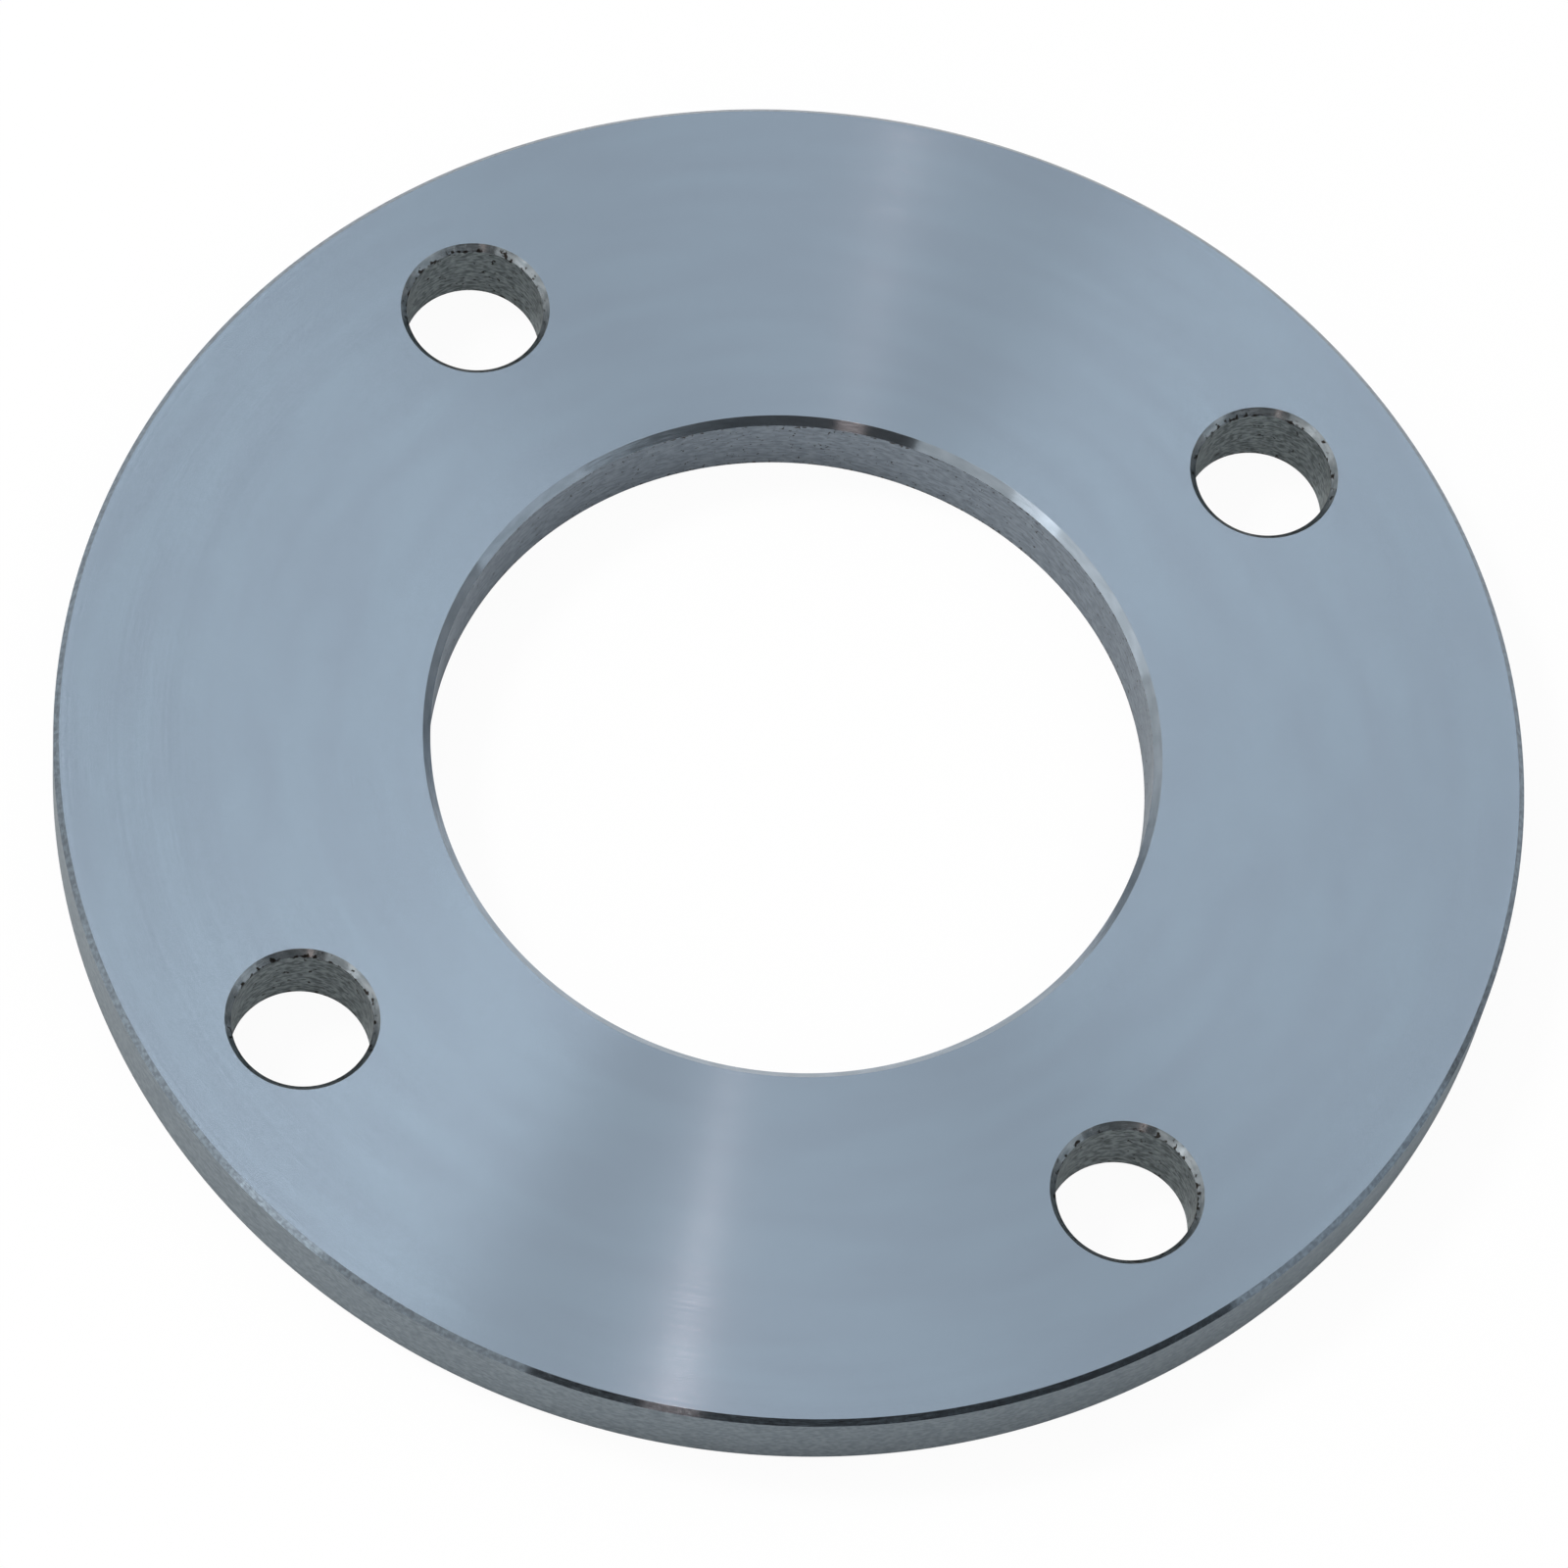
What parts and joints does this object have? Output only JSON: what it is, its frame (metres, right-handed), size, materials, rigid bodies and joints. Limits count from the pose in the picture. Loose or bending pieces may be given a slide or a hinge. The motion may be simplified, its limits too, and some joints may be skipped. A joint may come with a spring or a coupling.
{
  "type": "pipe flange",
  "caption": "Flat slip-on plate flange for a steel pipe: a turned steel ring with a plain bore and a circle of bolt holes near its rim.",
  "frame": {"origin": "centre of the bore, in the plane of the underside that the flange lies on", "axes": "+Z along the pipe's axis, from the underside to the face with the larger bore chamfer; +X and +Y are the two centre lines, with the bolt holes halfway between them, at 45 degrees and every 90 degrees from there"},
  "size_m": [0.185, 0.185, 0.011],
  "materials": {
    "turned_steel": "lathe-turned, satin, with fine concentric tool marks"
  },
  "bodies": {
    "root": {"plate_flange": "turned_steel"}
  },
  "joints": []
}
